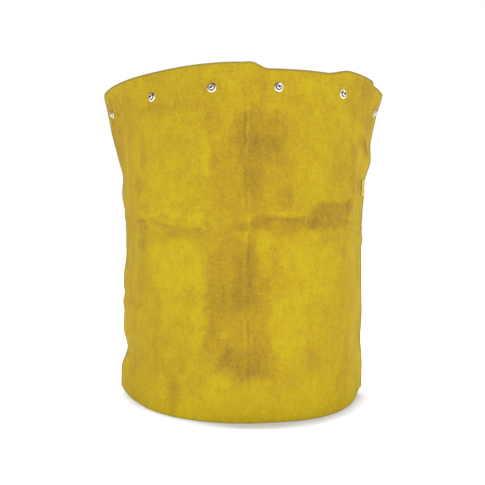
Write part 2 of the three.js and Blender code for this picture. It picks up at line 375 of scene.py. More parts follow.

# Handling marks on the nap, and along the folds painted highlight and painted shade. Each is (along, up,
# half width, half height, tilt in degrees, depth, softness of its edge): a positive depth makes it brown and
# a negative one bright, as rubbed down and brushed up nap, and along the folds also as painted shade and
# painted highlight.
MARKS = [
    # the standing fold below the crossing: a rubbed band with a dark core and a slanted tail
    (-6, 158, 46, 100, 0, 0.21, 0.07),
    (4, 204, 20, 50, 0, 0.16, 0.35),
    (-22, 172, 26, 16, 8, 0.14, 0.30),
    (24, 182, 18, 16, 0, 0.06, 0.30),
    (12, 215, 4, 36, 0, 0.10, 0.50),
    (8, 82, 38, 21, -21, 0.15, 0.06),
    (24, 66, 20, 8, -21, 0.15, 0.10),
    (38, 148, 6, 18, 0, -0.16, 0.20),
    (-52, 98, 6, 20, 0, 0.08, 0.40),
    (-24, 90, 9, 15, 0, 0.14, 0.40),
    (-42, 138, 8, 16, 0, 0.12, 0.40),
    (32, 236, 10, 30, 0, -0.18, 0.40),
    (-4, 268, 40, 16, 0, 0.16, 0.45),
    (44, 226, 8, 26, 0, 0.14, 0.50),
    (-24, 127, 6, 5, 0, -0.26, 0.40),
    # the same fold above the crossing
    (14, 348, 58, 56, 0, 0.16, 0.16),
    (32, 414, 40, 28, 0, 0.24, 0.30),
    (13, 366, 15, 66, 0, 0.20, 0.35),
    (44, 374, 18, 14, 0, 0.16, 0.40),
    (-8, 420, 12, 24, -24, 0.20, 0.35),
    (60, 318, 11, 11, 0, 0.20, 0.40),
    (-44, 428, 9, 18, 0, 0.20, 0.45),
    (-70, 432, 26, 8, 6, 0.12, 0.50),
    (20, 470, 17, 36, 0, 0.14, 0.40),
    (30, 482, 5, 18, 10, 0.10, 0.50),
    (-40, 372, 8, 12, 0, 0.16, 0.40),
    (-44, 336, 8, 12, 0, 0.12, 0.40),
    # thin bright lines down the fold's crest: painted highlight
    (9, 402, 3, 19, 0, -0.30, 0.50),
    (9, 274, 3, 26, 0, -0.24, 0.50),
    # the lying fold: darker rubbed nap, with a painted highlight along its crest on the left and painted
    # shade just below it
    (50, 280, 56, 12, 0, 0.31, 0.35),
    (140, 295, 46, 20, 5, 0.42, 0.25),
    (192, 312, 16, 12, 20, 0.34, 0.40),
    (140, 262, 22, 8, 0, 0.14, 0.50),
    (-86, 270, 30, 7, 0, 0.20, 0.45),
    (-190, 268, 18, 28, 0, 0.20, 0.40),
    (-184, 242, 6, 16, -10, 0.14, 0.50),
    (-130, 297, 76, 5, -6, -0.28, 0.50),
    (-68, 286, 13, 10, 0, -0.12, 0.45),
    (-47, 288, 6, 16, 0, 0.16, 0.50),
    (12, 344, 6, 18, 0, 0.14, 0.50),
    # scuffs
    (-110, 452, 72, 9, 0, 0.20, 0.45),
    (-216, 472, 20, 14, 0, 0.18, 0.45),
    (-268, 424, 30, 28, 0, 0.26, 0.40),
    (-258, 476, 30, 22, 10, 0.30, 0.45),
    (-216, 440, 26, 20, 0, 0.14, 0.50),
    (-190, 345, 13, 14, 0, 0.18, 0.45),
    (-176, 400, 8, 26, 0, 0.14, 0.50),
    (-290, 20, 34, 40, 24, 0.18, 0.50),
    (-120, 50, 32, 62, 0, 0.14, 0.25),
    (-102, 30, 10, 26, 0, 0.16, 0.40),
    (-128, 40, 8, 16, 0, -0.20, 0.50),
    (106, 86, 14, 18, 0, 0.20, 0.45),
    (166, 34, 16, 36, 0, 0.14, 0.50),
    (176, 92, 10, 20, 0, 0.12, 0.50),
    (248, 412, 34, 12, -10, 0.46, 0.60),
    (190, 390, 14, 16, 0, 0.30, 0.50),
    (172, 360, 28, 16, 0, 0.16, 0.50),
    (202, 352, 12, 22, 0, 0.24, 0.50),
    (228, 366, 22, 16, 0, 0.18, 0.50),
    (226, 338, 26, 8, 0, 0.14, 0.50),
    (206, 474, 40, 34, 0, 0.24, 0.40),
    (254, 450, 18, 14, 0, 0.26, 0.45),
    (262, 352, 20, 10, 0, 0.20, 0.50),
    (170, 240, 9, 9, 0, 0.24, 0.50),
    (262, 205, 16, 7, 0, 0.16, 0.50),
    (212, 492, 12, 16, 0, 0.22, 0.40),
    (276, 474, 14, 12, 0, 0.20, 0.40),
    # nap brushed up bright
    (-110, 220, 50, 34, 0, -0.22, 0.35),
    (-112, 168, 24, 26, 0, -0.18, 0.45),
    (-64, 160, 8, 62, 0, -0.18, 0.45),
    (-132, 340, 30, 42, 0, -0.16, 0.50),
    (-50, 374, 7, 26, 0, -0.24, 0.40),
    (66, 124, 28, 44, 0, -0.14, 0.35),
    (100, 214, 52, 48, 0, -0.12, 0.40),
    (104, 388, 28, 56, 0, -0.05, 0.50),
    (100, 470, 34, 12, 0, -0.04, 0.50),
    (222, 234, 26, 12, 0, -0.14, 0.50),
    (-30, 56, 18, 8, 0, -0.14, 0.50),
    (246, 118, 44, 50, 0, -0.12, 0.60),
    (-192, 124, 20, 18, 0, -0.12, 0.50),
    (-118, 108, 22, 38, 0, -0.12, 0.50),
    (-24, 212, 12, 16, 0, -0.10, 0.50),
    (-195, 355, 30, 40, 0, -0.06, 0.60),
]


def bare_nap_and_shade(along, up):
    """The tone of the nap away from folds and marks, painted lighter near the foot and darker at the left
    side edge.
    """
    tone = 0.40 + 0.05 * on_hide(along, up, 48, 25) + 0.05 * on_hide(along, up, 19, 26)
    tone = tone + 0.05 * on_hide(along, up, 8, 29)
    # painted light: lighter over the lowest 85 mm, against the shade near the floor; painted shade: darker
    # at the left side edge, as if lit from the right
    tone = tone + 0.05 * swing(-along, 150, 230) - 0.19 * (1 - swing(up, 5, 85))
    # near the side edges the nap lies in upright strokes, where hands roll the hide
    rolled = swing(np.abs(along), 170, 270)
    return tone + 0.16 * rolled * on_hide(along, up / 5, 11, 33)


def fold_tones_and_shade(along, up):
    """The folds' dark lines and light lines are painted shade and painted highlight over darker rubbed nap:
    the standing fold has one dark line below the crossing, and above it painted highlight lines beside a
    dark line, and the lying fold a painted highlight on its ridge with painted shade under it. All of them
    are broken."""
    crest = standing_line(up)
    below = 1 - swing(up, 262, 292)
    dark = np.maximum(0, wander(up, 26, 34) + 0.5) * swing(up, 30, 90) * (1 - swing(up, 420, 480))
    # painted highlight lines along the standing fold above the crossing, broken in patches
    patchy = np.maximum(0, wander(up, 31, 37) + 0.3) * (1 - 0.7 * swing(up, 430, 470))
    tone = below * dark * (0.24 * bump_at(along, crest, 3.2) - 0.16 * bump_at(along, crest - 5, 3.6))
    highlight_streaks = bump_at(along, crest - 1, 3.2) + bump_at(along, crest - 9, 3)
    tone = tone + (1 - below) * (0.16 * dark * bump_at(along, crest - 5, 3) - 0.20 * patchy * highlight_streaks)
    line = lying_line(along)
    # the lying fold: a painted highlight on its ridge and painted shade under it, broken in patches
    kept = np.maximum(0, wander(along + PATTERN_START, 37, 38) + 0.45)
    kept = kept * swing(np.abs(along - crest), 0, 50) * (1 - 0.8 * swing(np.abs(along), 185, 235))
    return tone + kept * (0.24 * bump_at(up, line - 3, 4.5) - 0.16 * bump_at(up, line + 4, 6))


def mark_tones(along, up):
    """All the handling marks and the painted highlights and shade of the folds, with ragged edges."""
    across = along + sum(reach * on_hide(along, up, size, seed) for size, reach, seed in RAGS)
    above = up + sum(reach * on_hide(along, up, size, seed + 1) for size, reach, seed in RAGS)
    total = 0
    for middle, height, half_width, half_height, tilt, depth, softness in MARKS:
        cosine, sine = math.cos(math.radians(tilt)), math.sin(math.radians(tilt))
        x, y = across - middle, above - height
        u = (x * cosine + y * sine) / half_width
        v = (y * cosine - x * sine) / half_height
        edge = (np.abs(u) ** 3 + np.abs(v) ** 3) ** (1 / 3)
        blur = MARK_BLUR * softness
        total = total + MARK_STRENGTH * depth * (1 - swing(edge, 1 - blur, 1 + blur))
    return total


def nap_tone_and_shade(along, up):
    """How far the nap is rubbed down, with the painted shade and highlights of the folds and the painted
    light near the foot: about 0.4 where it is untouched, up to 1 in the folds.
    """
    return bare_nap_and_shade(along, up) + fold_tones_and_shade(along, up) + mark_tones(along, up)


# ------------------------------------------------------------------ sheets of leather


def steps_between(stops, step):
    """Even steps from one stop to the next, through every stop."""
    places = [stops[0]]
    for start, end in zip(stops, stops[1:]):
        count = max(1, round((end - start) / step))
        places += [start + (end - start) * k / count for k in range(1, count + 1)]
    return np.array(places)


def grid_normals(points):
    """The direction out of the front of a grid of points indexed [column, row]."""
    across = np.gradient(points, axis=0)
    upwards = np.gradient(points, axis=1)
    normals = np.cross(across, upwards)
    return normals / np.linalg.norm(normals, axis=-1, keepdims=True)


def sheet_mesh(name, front, back, attributes, holes=()):
    """A closed sheet from grids of front and back points, with a rounded rim and a wall round each hole.
    attributes maps a name to its values on the front and on the back, and to what the rim takes: one
    value, or a grid. holes are (column, row) of the grid points that are punched out."""
    columns, rows = front.shape[:2]
    count = columns * rows
    index = np.arange(count).reshape(columns, rows)
    kept = np.ones((columns - 1, rows - 1), bool)
    for i, j in holes:
        kept[i - 1:i + 1, j - 1:j + 1] = False
    corners = (index[:-1, :-1], index[1:, :-1], index[1:, 1:], index[:-1, 1:])
    quads = np.stack([corner[kept] for corner in corners], -1)
    faces = [*quads, *(quads[:, ::-1] + count)]

    middle = ((front + back) / 2).reshape(-1, 3)
    rim = [*index[:-1, 0], *index[-1, :-1], *index[:0:-1, -1], *index[0, :0:-1]]
    bulge = []
    for k in rim:
        i, j = np.clip(divmod(k, rows), 1, (columns - 2, rows - 2))
        outwards = middle[k] - middle[index[i, j]]
        bulge.append(middle[k] + EDGE_BULGE * outwards / max(np.linalg.norm(outwards), 1e-9))
    first = 2 * count
    for n, k in enumerate(rim):
        following = (n + 1) % len(rim)
        faces.append((rim[following], k, first + n, first + following))
        faces.append((first + following, first + n, k + count, rim[following] + count))
    for i, j in holes:
        ring = [index[i - 1, j - 1], index[i, j - 1], index[i + 1, j - 1], index[i + 1, j],
                index[i + 1, j + 1], index[i, j + 1], index[i - 1, j + 1], index[i - 1, j]]
        for k, following in zip(ring, ring[1:] + ring[:1]):
            faces.append((k, following, following + count, k + count))

    mesh = bpy.data.meshes.new(name)
    vertices = np.concatenate([front.reshape(-1, 3), back.reshape(-1, 3), bulge])
    mesh.from_pydata((vertices * MM).tolist(), [], [list(map(int, face)) for face in faces])
    for title, (on_front, on_back, on_rim) in attributes.items():
        layer = mesh.attributes.new(title, "FLOAT", "POINT")
        edge = np.broadcast_to(on_rim, (columns, rows)).ravel()[rim]
        layer.data.foreach_set("value", np.concatenate([on_front.ravel(), on_back.ravel(), edge]))
    face_out(mesh)
    return mesh


def open_hole(face, i, j, centre, axis):
    """Sets the eight points round a punched grid point on the hole's circle."""
    for column, row in ((i + di, j + dj) for di in (-1, 0, 1) for dj in (-1, 0, 1) if di or dj):
        away = face[column, row] - centre
        height = away @ axis
        flat = away - height * axis
        face[column, row] = centre + height * axis + flat / np.linalg.norm(flat) * HOLE_RADIUS


def leather_panel():
    rim = [-HALF_WIDTH, -HALF_WIDTH + EDGE_ROLL]
    columns = steps_between([*rim, *SNAP_PLACES, *(-place for place in reversed(rim))], CELL)
    low_rows = steps_between([0, EDGE_ROLL, SNAP_ROW], CELL)
    high_shares = steps_between([0, 1 - EDGE_ROLL / SNAP_DROP, 1], CELL / SNAP_DROP)[1:]
    crown = top_edge(columns)[:, None]
    low = np.repeat(low_rows[None, :], len(columns), 0)
    up = np.concatenate([low, SNAP_ROW + (crown - SNAP_ROW) * high_shares], 1)
    along = np.repeat(columns[:, None], up.shape[1], 1)
    points = bare_bow(along, up) + SHEET_SHIFT
    points = points + grid_normals(points) * waves(along, up)[..., None]
    normals = grid_normals(points)

    from_top = crown - up
    from_side = HALF_WIDTH - np.abs(along)
    from_edge = np.minimum.reduce([from_side, up, from_top])
    half = LEATHER / 2 * np.where(from_edge < EDGE_ROLL / 2, 0.55, 1.0)
    half = half + 0.05 * on_hide(along, up, 9, 31) * (from_edge > 1)
    points, normals, half = pinch(points, normals, half)
    front = points + normals * half[..., None]
    back = points - normals * half[..., None]
    row = int(np.argmin(np.abs(low_rows - SNAP_ROW)))
    holes = [(int(np.argmin(np.abs(columns - place))), row) for place in SNAP_PLACES]
    for (i, j), (centre, axis) in zip(holes, SEATS):
        open_hole(front, i, j, centre, axis)
        open_hole(back, i, j, centre, axis)

    # the nap's tone with its painted shade and highlights; the back takes a weaker copy
    rubbed_and_shade = nap_tone_and_shade(along, up)
    behind = 0.42 + 0.45 * (rubbed_and_shade - 0.42) + 0.1 * on_hide(along, up, 45, 41)
    # the dark of the cut reaches furthest in at the side edges and least at the foot
    from_cut = np.minimum.reduce([from_side / 3, 3 + up, from_top])
    edge_tone = 0.85 * (1 - swing(from_cut, 0.3, 4))
    mesh = sheet_mesh("leather_panel", front, back, {
        "rubbed_and_shade": (rubbed_and_shade, behind, rubbed_and_shade),
        "cut": (edge_tone, edge_tone, 1.0),
        "along": (along, along, along),
        "up": (up, up, up),
    }, holes)
    return new_object("leather_panel", mesh)


def label_patch():
    across, upright = (
        middle + steps_between([-half, -half + LABEL_ROLL, half - LABEL_ROLL, half], LABEL_CELL)
        for middle, half in zip(LABEL_MIDDLE, (LABEL_SIZE[0] / 2, LABEL_SIZE[1] / 2))
    )
    along, up = np.meshgrid(across, upright, indexing="ij")
    points = bare_bow(along, up) + SHEET_SHIFT
    points = points + grid_normals(points) * waves(along, up)[..., None]
    normals = grid_normals(points)
    from_edge = np.minimum.reduce([
        along - across[0], across[-1] - along, up - upright[0], upright[-1] - up])
    at_rim = from_edge < LABEL_ROLL / 2
    groove = bump_at(from_edge, SEAM_INSET, 1.3)
    curl = 0.5 * (1 - swing(from_edge, 0, 2.2)) * (0.5 + 0.5 * on_hide(along, up, 7, 51))
    half = LABEL_THICKNESS / 2 * np.where(at_rim, 0.6, 1.0)
    rise = LABEL_LIFT + LABEL_THICKNESS / 2 - 0.12 * groove + curl
    front = points + normals * (rise + half + 0.12 * (1 - groove) * (from_edge > 1))[..., None]
    back = points + normals * (rise - half)[..., None]
    patchy = 0.5 + 0.4 * on_hide(along, up, 6, 52)
    edge_tone = np.where(at_rim, 0.6, 0.0)
    mesh = sheet_mesh("label_patch", front, back, {
        "rubbed_and_shade": (patchy, patchy, patchy),
        "cut": (edge_tone, edge_tone, 1.0),
        "along": (along, along, along),
        "up": (up, up, up),
    })
    return new_object("label_patch", mesh)


# ------------------------------------------------------------------ turned metal


def softened(outline, reach):
    """A closed outline of (radius, height) points with every corner eased by a short curve."""
    eased = []
    for k, corner in enumerate(outline):
        corner = np.array(corner, float)
        before, after = np.array(outline[k - 1], float), np.array(outline[(k + 1) % len(outline)], float)
        back, ahead = before - corner, after - corner
        start = corner + back * min(0.45, reach / np.linalg.norm(back))
        end = corner + ahead * min(0.45, reach / np.linalg.norm(ahead))
        for t in (0, 0.25, 0.5, 0.75, 1):
            eased.append((1 - t) ** 2 * start + 2 * t * (1 - t) * corner + t ** 2 * end)
    return np.array(eased)


def turned_ring(name, outline, segments, painted_shade, shaped=None):
    """A ring turned about +Z from a closed outline in millimetres. painted_shade(radius, height) says where
    painted shade darkens the plating, from 0 to 1, and shaped(radius, height, angle) may move its points."""
    angle = np.arange(segments) * 2 * math.pi / segments
    radius = np.repeat(outline[None, :, 0], segments, 0)
    height = np.repeat(outline[None, :, 1], segments, 0)
    turn = np.repeat(angle[:, None], len(outline), 1)
    if shaped:
        radius, height = shaped(radius, height, turn)
    points = np.stack([radius * np.cos(turn), radius * np.sin(turn), height], -1).reshape(-1, 3)
    size = len(outline)
    faces = []
    for i in range(segments):
        for j in range(size):
            k, m = (i + 1) % segments, (j + 1) % size
            faces.append((i * size + j, k * size + j, k * size + m, i * size + m))
    mesh = bpy.data.meshes.new(name)
    mesh.from_pydata((points * MM).tolist(), [], faces)
    face_out(mesh)
    # painted shade: where this is 1 the metal's colour goes near black
    painted_shade_layer = mesh.attributes.new("painted_shade", "FLOAT", "POINT")
    painted_shade_layer.data.foreach_set("value", painted_shade(radius, height).ravel())
    return mesh


def stud_outline():
    """A hollow post with a head, a groove round its foot and a domed flange."""
    top = FACE + POST_HEIGHT
    return softened([
        (HOLE_RADIUS, top), (3.15, top), (3.65, top - 0.8), (3.3, FACE + 1.2), (3.75, FACE + 0.45),
        (4.3, FACE + 0.45), (4.7, FACE + 0.9), (5.7, FACE + 0.78), (6.45, FACE + 0.5),
        (FLANGE_RADIUS, FACE + 0.2), (FLANGE_RADIUS - 0.2, FACE), (3.6, FACE), (2.8, FACE + 1.2),
        (3.15, top - 0.9), (2.85, top - 0.5), (HOLE_RADIUS, top - 0.5),
    ], 0.28)


def groove_painted_shade(radius, height):
    """The stud's groove round its post, painted dark as shade."""
    low = 1 - swing(height, FACE + 0.8, FACE + 1.6)
    return 0.95 * bump_at(radius, 3.8, 1.2) * low


def bore_painted_shade(radius, height):
    """The inside of the barrel, painted dark as shade."""
    return 1 - swing(radius, BORE_EDGE - 0.15, BORE_EDGE)


def eyelet_outline():
    """A flange behind the leather and a barrel through it, rolled out over the top of the post."""
    lip = FACE + POST_HEIGHT + 0.02
    return softened([
        (BORE_RADIUS, lip - 0.6), (1.95, lip + 0.35), (2.5, lip + 0.6), (2.95, lip + 0.35),
        (3.02, lip + 0.05), (2.8, lip), (2.15, lip), (2.15, -FACE), (EYELET_RADIUS - 0.2, -FACE),
        (EYELET_RADIUS, -FACE - 0.25), (EYELET_RADIUS - 0.3, -FACE - 0.5), (2.6, -FACE - 0.55),
        (1.5, -FACE - 0.35), (1.05, -FACE), (1.2, -FACE + 0.3), (BORE_RADIUS, -FACE + 0.8),
    ], 0.22)


def star_lip(radius, height, angle):
    """The barrel's rolled end splits into petals: pulled in and down between them."""
    between = (0.5 - 0.5 * np.cos(6 * angle)) ** 6
    on_lip = (height > FACE + POST_HEIGHT - 0.2) * swing(radius, 1.7, 2.6)
    return radius - 0.45 * between * on_lip, height - 0.22 * between * on_lip


# ------------------------------------------------------------------ geometry nodes


def new_tree(name, sizes):
    """An empty geometry tree with a named input for each of sizes: (name, socket kind)."""
    tree = bpy.data.node_groups.new(name, "GeometryNodeTree")
    tree.interface.new_socket("Geometry", in_out="INPUT", socket_type="NodeSocketGeometry")
    tree.interface.new_socket("Geometry", in_out="OUTPUT", socket_type="NodeSocketGeometry")
    for title, kind in sizes:
        tree.interface.new_socket(title, in_out="INPUT", socket_type=kind)
    return tree, add(tree, "NodeGroupInput"), add(tree, "NodeGroupOutput")


def grown(name, base, tree, values):
    """The plain mesh that a tree makes on the object base, as a new object. base is removed."""
    modifier = base.modifiers.new("grow", "NODES")
    modifier.node_group = tree
    for socket in tree.interface.items_tree:
        if socket.item_type == "SOCKET" and socket.in_out == "INPUT" and socket.name in values:
            modifier[socket.identifier] = values[socket.name]
    evaluated = base.evaluated_get(bpy.context.evaluated_depsgraph_get())
    mesh = bpy.data.meshes.new_from_object(evaluated)
    bpy.data.objects.remove(base)
    mesh.name = name
    return new_object(name, mesh)


def points_object(name, points, vectors, edges=()):
    """A mesh of bare points, in millimetres, each with named direction attributes."""
    mesh = bpy.data.meshes.new(name)
    mesh.from_pydata((np.array(points) * MM).tolist(), list(edges), [])
    for title, directions in vectors.items():
        layer = mesh.attributes.new(title, "FLOAT_VECTOR", "POINT")
        layer.data.foreach_set("vector", np.array(directions, float).ravel())
    return new_object(name, mesh)


def lay_out(tree, given, out, shape, points, rotation):
    """Ends a tree: the given shape on every point, made real, in the given finish."""
    source = add(tree, "GeometryNodeObjectInfo", {"Object": given.outputs[shape]})
    copies = add(tree, "GeometryNodeInstanceOnPoints", {
        "Points": points, "Instance": source.outputs["Geometry"], "Rotation": rotation})
    solid = add(tree, "GeometryNodeRealizeInstances", {0: copies.outputs[0]})
    finish = add(tree, "GeometryNodeSetMaterial", {
        "Geometry": solid.outputs[0], "Material": given.outputs["Finish"]})
    tree.links.new(finish.outputs[0], out.inputs[0])
    return tree


def turned_by(tree, rotation, angle):
    """The rotation, turned further by an angle about its own Z."""
    about = add(tree, "ShaderNodeCombineXYZ", {"Z": angle})
    turn = add(tree, "FunctionNodeEulerToRotation", {0: about.outputs[0]})
    both = add(tree, "FunctionNodeRotateRotation", {0: rotation, 1: turn.outputs[0]}, rotation_space="LOCAL")
    return both.outputs[0]


def snap_tree():
    """Sets one ring on every seat, its +Z along the seat's axis, turned by a random step."""
    tree, given, out = new_tree("snap row", [
        ("Ring", "NodeSocketObject"), ("Spin", "NodeSocketFloat"), ("Seed", "NodeSocketInt"),
        ("Finish", "NodeSocketMaterial"),
    ])
    axis = add(tree, "GeometryNodeInputNamedAttribute", {"Name": "axis"}, data_type="FLOAT_VECTOR")
    upright = add(tree, "FunctionNodeAlignRotationToVector", {"Vector": axis.outputs[0]}, axis="Z")
    chance = add(tree, "FunctionNodeRandomValue", {
        "Min": 0.0, "Max": given.outputs["Spin"], "Seed": given.outputs["Seed"]}, data_type="FLOAT")
    turned = turned_by(tree, upright.outputs[0], chance.outputs[1])
    return lay_out(tree, given, out, "Ring", given.outputs["Geometry"], turned)


def stitch_tree():
    """Lays a stitch at every pitch along a seam, its +X along the seam and +Z out of the leather."""
    tree, given, out = new_tree("stitches", [
        ("Stitch", "NodeSocketObject"), ("Pitch", "NodeSocketFloat"), ("Lean", "NodeSocketFloat"),
        ("Seed", "NodeSocketInt"), ("Finish", "NodeSocketMaterial"),
    ])
    seam = add(tree, "GeometryNodeMeshToCurve", {"Mesh": given.outputs["Geometry"]})
    spaced = add(tree, "GeometryNodeResampleCurve", {
        "Curve": seam.outputs[0], "Length": given.outputs["Pitch"]}, mode="LENGTH")
    tangent = add(tree, "GeometryNodeInputTangent")
    outwards = add(tree, "GeometryNodeInputNamedAttribute", {"Name": "outwards"}, data_type="FLOAT_VECTOR")
    ahead = add(tree, "FunctionNodeAlignRotationToVector", {"Vector": tangent.outputs[0]}, axis="X")
    upright = add(tree, "FunctionNodeAlignRotationToVector", {
        "Rotation": ahead.outputs[0], "Vector": outwards.outputs[0]}, axis="Z", pivot_axis="X")
    less = add(tree, "ShaderNodeMath", {0: given.outputs["Lean"], 1: -1.0}, operation="MULTIPLY")
    chance = add(tree, "FunctionNodeRandomValue", {
        "Min": less.outputs[0], "Max": given.outputs["Lean"], "Seed": given.outputs["Seed"]},
        data_type="FLOAT")
    laid = turned_by(tree, upright.outputs[0], chance.outputs[1])
    return lay_out(tree, given, out, "Stitch", spaced.outputs[0], laid)


def snap_row(name, ring_mesh, nodes, finish, seed):
    ring = new_object(name + "_ring", ring_mesh)
    seats = points_object(name, [centre for centre, _ in SEATS], {"axis": [axis for _, axis in SEATS]})
    row = grown(name, seats, snap_tree(), {"Ring": ring, "Spin": ANY_TURN, "Seed": seed, "Finish": finish})
    bpy.data.objects.remove(ring)
    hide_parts(*nodes)
    return row


def stitch_mesh():
    """One stitch: a short thread along X that rises out of the leather and goes back in."""
    rings, sides = 7, 8
    points = []
    for i in range(rings):
        share = i / (rings - 1)
        rise = math.sin(math.pi * share)
        x = (share - 0.5) * STITCH_LENGTH
        z = STITCH_HUMP * rise - THREAD_RADIUS * 0.4
        swell = THREAD_RADIUS * (0.35 + 0.65 * rise ** 0.4)
        for k in range(sides):
            angle = 2 * math.pi * k / sides
            points.append((x, swell * math.cos(angle), z + swell * math.sin(angle)))
    faces = [tuple(reversed(range(sides))), tuple(range((rings - 1) * sides, rings * sides))]
    for i in range(rings - 1):
        for k in range(sides):
            m = (k + 1) % sides
            faces.append((i * sides + k, i * sides + m, (i + 1) * sides + m, (i + 1) * sides + k))
    mesh = bpy.data.meshes.new("stitch")
    mesh.from_pydata((np.array(points) * MM).tolist(), [], faces)
    face_out(mesh)
    return mesh


def label_stitches(name, out, sign, finish, seed):
    """The seam round the label, out millimetres from the middle of the leather, on one of its faces."""
    width, height = (size - 2 * SEAM_INSET for size in LABEL_SIZE)
    corners = [0, width, width + height, 2 * width + height, 2 * (width + height)]
    loop = steps_between(corners, 1.0)[:-1]
    along = LABEL_MIDDLE[0] - width / 2 + np.interp(loop, corners, [0, width, width, 0, 0])
    up = LABEL_MIDDLE[1] - height / 2 + np.interp(loop, corners, [0, 0, height, height, 0])
    reach = 0.5
    across = bare_bow(along + reach, up) - bare_bow(along - reach, up)
    upwards = bare_bow(along, up + reach) - bare_bow(along, up - reach)
    normals = np.cross(across, upwards)
    normals /= np.linalg.norm(normals, axis=-1, keepdims=True)
    points = bare_bow(along, up) + SHEET_SHIFT + normals * (waves(along, up) + sign * out)[:, None]
    edges = [(k, (k + 1) % len(loop)) for k in range(len(loop))]
    seam = points_object(name, points, {"outwards": normals * sign}, edges)
    stitch = new_object("stitch", stitch_mesh())
    row = grown(name, seam, stitch_tree(), {
        "Stitch": stitch, "Pitch": STITCH_PITCH * MM, "Lean": STITCH_LEAN, "Seed": seed, "Finish": finish})
    bpy.data.objects.remove(stitch)
    return row


# ------------------------------------------------------------------ finishes


def new_material(name):
    material = bpy.data.materials.new(name)
    material.use_nodes = True
    material.node_tree.nodes.clear()
    return material, material.node_tree


def suede(name, tones, cut_tone):
    """Split cowhide, drum-dyed and buffed to a nap. The eye gets a soft matt field that goes from bright
    where the nap is brushed up to brown where it is rubbed down, and along the folds and near the foot
    through painted highlight and painted shade, with a dusty grain of loose fibre."""
    material, tree = new_material(name)
    place = add(tree, "ShaderNodeTexCoord")
    rubbed_and_shade = add(tree, "ShaderNodeAttribute", attribute_name="rubbed_and_shade")
    cut = add(tree, "ShaderNodeAttribute", attribute_name="cut")
    along = add(tree, "ShaderNodeAttribute", attribute_name="along")
    up = add(tree, "ShaderNodeAttribute", attribute_name="up")
    lay = add(tree, "ShaderNodeCombineXYZ", {"X": along.outputs["Fac"], "Y": up.outputs["Fac"]})
    # strokes of a hand over the nap, about 5 mm wide and 30 mm tall
    strokes_at = add(tree, "ShaderNodeMapping", {"Vector": lay.outputs[0], "Scale": (1 / 5, 1 / 30, 1)})
    strokes = add(tree, "ShaderNodeTexNoise", {
        "Vector": strokes_at.outputs[0], "Scale": 1.0, "Detail": 5.0, "Roughness": 0.7})
    # the buffing drum's faint cross lines, about 2.5 mm apart and 20 mm long
    buffed_at = add(tree, "ShaderNodeMapping", {"Vector": lay.outputs[0], "Scale": (1 / 20, 1 / 2.5, 1)})
    buffed = add(tree, "ShaderNodeTexNoise", {
        "Vector": buffed_at.outputs[0], "Scale": 1.0, "Detail": 3.0, "Roughness": 0.6})
    mottle = add(tree, "ShaderNodeTexNoise", {
        "Vector": place.outputs["Object"], "Scale": per(24), "Detail": 6.0, "Roughness": 0.65,
        "Distortion": 0.4})
    # loose fibre is under 0.1 mm across: drawn as tufts of 2 to 4 mm so that it shows
    grain = add(tree, "ShaderNodeTexNoise", {
        "Vector": place.outputs["Object"], "Scale": per(3.6), "Detail": 5.0, "Roughness": 0.85})
    level = rubbed_and_shade.outputs["Fac"]
    for texture, weight in ((strokes, 0.47), (buffed, 0.26), (mottle, 0.42), (grain, 1.6)):
        around = add(tree, "ShaderNodeMath", {0: texture.outputs["Fac"], 1: 0.5}, operation="SUBTRACT")
        part = add(tree, "ShaderNodeMath", {0: around.outputs[0], 1: weight}, operation="MULTIPLY")
        level = add(tree, "ShaderNodeMath", {0: level, 1: part.outputs[0]}, operation="ADD").outputs[0]
    tone = add(tree, "ShaderNodeValToRGB", {0: level}, stops=tones)
    edge = add(tree, "ShaderNodeMix", {0: cut.outputs["Fac"], 6: tone.outputs[0], 7: linear(cut_tone)},
               data_type="RGBA")
    fibre = add(tree, "ShaderNodeBump", {
        "Strength": 0.55, "Distance": 0.25 * MM, "Height": grain.outputs["Fac"]})
    dents = add(tree, "ShaderNodeBump", {
        "Strength": 0.5, "Distance": 0.6 * MM, "Height": mottle.outputs["Fac"],
        "Normal": fibre.outputs[0]})
    shader = add(tree, "ShaderNodeBsdfPrincipled", {
        "Base Color": edge.outputs[2], "Roughness": 0.95, "IOR": 1.5, "Specular IOR Level": 0.08,
        "Sheen Weight": 0.03, "Sheen Roughness": 0.6, "Sheen Tint": linear("#E8D070"),
        "Normal": dents.outputs[0]})
    add(tree, "ShaderNodeOutputMaterial", {"Surface": shader.outputs[0]})
    return material


def nickel_plate():
    """Brass pressed to shape and barrel-plated with bright nickel. The eye gets a warm grey mirror, with
    faint tumbling scratches that break up its reflections. The narrow barrel and the groove round the post
    are painted near black, as painted shade."""
    material, tree = new_material("bright_nickel_plate")
    place = add(tree, "ShaderNodeTexCoord")
    # tumbling scratches, under 0.05 mm wide: drawn 0.4 mm so that they show
    scratches = add(tree, "ShaderNodeTexNoise", {
        "Vector": place.outputs["Object"], "Scale": per(0.4), "Detail": 5.0, "Roughness": 0.7})
    haze = add(tree, "ShaderNodeTexNoise", {
        "Vector": place.outputs["Object"], "Scale": per(3), "Detail": 3.0})
    roughness = add(tree, "ShaderNodeMapRange", {
        "Value": haze.outputs["Fac"], "From Min": 0.3, "From Max": 0.7, "To Min": 0.10, "To Max": 0.24})
    bump = add(tree, "ShaderNodeBump", {
        "Strength": 0.12, "Distance": 0.03 * MM, "Height": scratches.outputs["Fac"]})
    painted_shade = add(tree, "ShaderNodeAttribute", attribute_name="painted_shade")
    # near black in the barrel and the groove: painted shade
    tone = add(tree, "ShaderNodeValToRGB", {0: painted_shade.outputs["Fac"]}, stops=[(0, "#E4DFD4"), (1, "#0C0A08")])
    shader = add(tree, "ShaderNodeBsdfPrincipled", {
        "Base Color": tone.outputs[0], "Metallic": 1.0, "Roughness": roughness.outputs[0],
        "Normal": bump.outputs[0]})
    add(tree, "ShaderNodeOutputMaterial", {"Surface": shader.outputs[0]})
    return material


